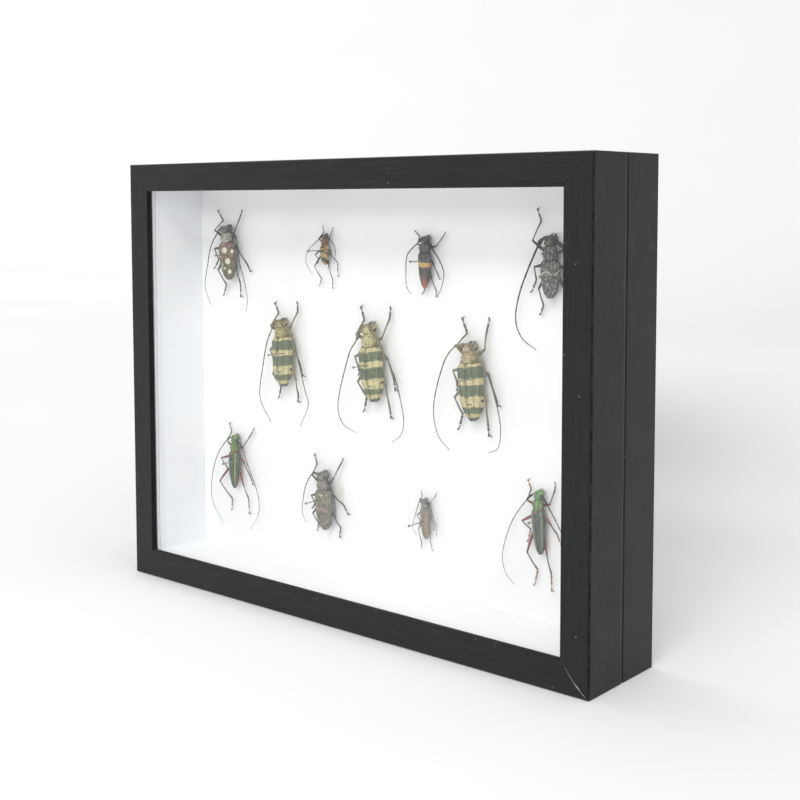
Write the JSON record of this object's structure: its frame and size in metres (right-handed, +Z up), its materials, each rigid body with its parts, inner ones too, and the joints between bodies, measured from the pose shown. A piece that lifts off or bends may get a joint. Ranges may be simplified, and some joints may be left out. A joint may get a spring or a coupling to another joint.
{
  "type": "insect specimen box",
  "caption": "Shallow glass-fronted display case with a cloth-covered lift-off lid over a white-lined collar, holding pinned longhorn beetles on a foam back.",
  "frame": {"origin": "middle of the long bottom edge face that the case stands on", "axes": "+X along the width, +Y from the glass front to the back, +Z up"},
  "size_m": [0.3, 0.054, 0.23],
  "materials": {
    "cover_cloth": "matte",
    "moulding_wood": "matte",
    "white_board": "matte",
    "white_paper": "matte",
    "glass": "polished",
    "nail_steel": "satin",
    "back_board": "matte",
    "black_paper": "matte",
    "foam": "matte",
    "pin_steel": "polished",
    "pin_head_nylon": "gloss",
    "brown_shell": "satin",
    "red_brown_shell": "satin",
    "black_shell": "satin",
    "grey_shell": "satin",
    "banded_shell": "satin",
    "green_shell": "gloss",
    "grey_brown_shell": "satin"
  },
  "bodies": {
    "base": {"base_moulding_left": "moulding_wood", "base_cover_left": "cover_cloth", "collar_left": "white_board", "collar_lining_left": "white_paper", "base_moulding_right": "moulding_wood", "base_cover_right": "cover_cloth", "collar_right": "white_board", "collar_lining_right": "white_paper", "base_moulding_bottom": "moulding_wood", "base_cover_bottom": "cover_cloth", "collar_bottom": "white_board", "collar_lining_bottom": "white_paper", "base_moulding_top": "moulding_wood", "base_cover_top": "cover_cloth", "collar_top": "white_board", "collar_lining_top": "white_paper", "base_corner_nails": "nail_steel", "back_board": "back_board", "back_paper": "black_paper", "foam_sheet": "foam", "foam_facing": "white_paper", "insect_pins": "pin_steel", "pin_heads": "pin_head_nylon", "white_spotted_beetle": "brown_shell", "wasp_banded_beetle": "red_brown_shell", "orange_banded_beetle": "black_shell", "white_veined_beetle": "grey_shell", "green_banded_beetle_left": "banded_shell", "green_banded_beetle_middle": "banded_shell", "green_banded_beetle_right": "banded_shell", "slim_green_beetle": "green_shell", "grey_brown_beetle": "grey_brown_shell", "small_brown_beetle": "grey_brown_shell", "striped_green_beetle": "green_shell"},
    "lid": {"lid_moulding_left": "moulding_wood", "lid_cover_left": "cover_cloth", "glazing_strip_left": "white_board", "lid_moulding_right": "moulding_wood", "lid_cover_right": "cover_cloth", "glazing_strip_right": "white_board", "lid_moulding_bottom": "moulding_wood", "lid_cover_bottom": "cover_cloth", "glazing_strip_bottom": "white_board", "lid_moulding_top": "moulding_wood", "lid_cover_top": "cover_cloth", "glazing_strip_top": "white_board", "lid_corner_nails": "nail_steel", "glass_pane": "glass"}
  },
  "joints": [
    {"name": "lid_lift", "type": "slide", "parent": "base", "child": "lid", "axis": [0, -1, 0], "range_m": [0, 0.06]}
  ]
}
